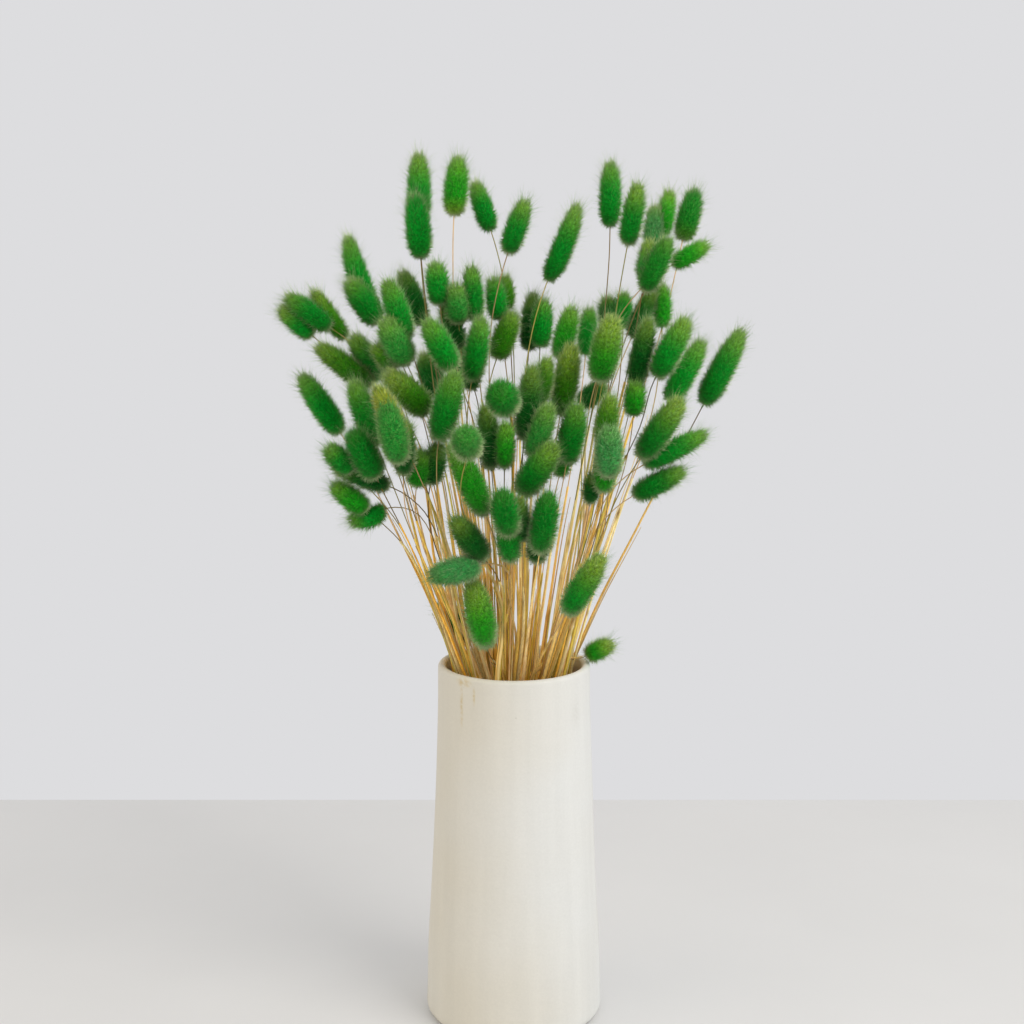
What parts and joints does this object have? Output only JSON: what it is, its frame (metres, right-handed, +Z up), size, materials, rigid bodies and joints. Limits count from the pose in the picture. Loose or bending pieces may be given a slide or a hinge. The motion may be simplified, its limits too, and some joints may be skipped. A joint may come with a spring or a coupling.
{
  "type": "dried bunny tail grass in vase",
  "caption": "Bunch of dried, green-dyed bunny tail grass standing loose in a tall tapered off-white ceramic vase, for a shelf or table.",
  "frame": {"origin": "centre of the vase's underside", "axes": "+Z up along the vase's axis, -Y towards the viewer, +X to the viewer's right"},
  "size_m": [0.2945, 0.2401, 0.5533],
  "materials": {
    "vase": "matt off-white slip",
    "straw": "dry golden straw",
    "tuft_deep": "deep green fur",
    "tuft_emerald": "emerald green fur",
    "tuft_leaf": "leaf green fur",
    "tuft_sage": "pale sage fur",
    "tuft_olive": "olive fur"
  },
  "bodies": {
    "root": {"vase": "vase", "stems_left": "straw", "stems_right": "straw", "heads_01": "tuft_emerald", "head_02": "tuft_leaf", "head_03": "tuft_emerald", "head_04": "tuft_emerald", "head_05": "tuft_emerald", "head_06": "tuft_emerald", "head_07": "tuft_emerald", "heads_08": "tuft_sage", "heads_09": "tuft_deep", "head_10": "tuft_deep", "head_11": "tuft_leaf", "heads_12": "tuft_deep", "heads_13": "tuft_emerald", "head_14": "tuft_emerald", "head_15": "tuft_leaf", "heads_16": "tuft_olive", "heads_17": "tuft_emerald", "head_18": "tuft_emerald", "head_19": "tuft_emerald", "head_20": "tuft_emerald", "heads_21": "tuft_deep", "heads_22": "tuft_emerald", "head_23": "tuft_emerald", "heads_24": "tuft_sage", "heads_25": "tuft_emerald", "head_26": "tuft_deep", "heads_27": "tuft_emerald", "head_28": "tuft_emerald", "heads_29": "tuft_leaf", "head_30": "tuft_sage", "head_31": "tuft_leaf", "heads_32": "tuft_emerald", "heads_33": "tuft_emerald", "heads_34": "tuft_deep", "head_35": "tuft_leaf", "head_36": "tuft_emerald", "head_37": "tuft_leaf", "heads_38": "tuft_sage", "head_39": "tuft_deep", "heads_40": "tuft_emerald", "heads_41": "tuft_emerald", "heads_42": "tuft_sage", "heads_43": "tuft_emerald", "heads_44": "tuft_emerald", "head_45": "tuft_emerald", "head_46": "tuft_deep", "head_47": "tuft_deep", "heads_48": "tuft_olive", "head_49": "tuft_emerald", "head_50": "tuft_emerald", "heads_51": "tuft_sage", "head_52": "tuft_olive", "head_53": "tuft_emerald", "heads_54": "tuft_emerald", "heads_55": "tuft_leaf", "heads_56": "tuft_leaf", "head_57": "tuft_deep"}
  },
  "joints": []
}
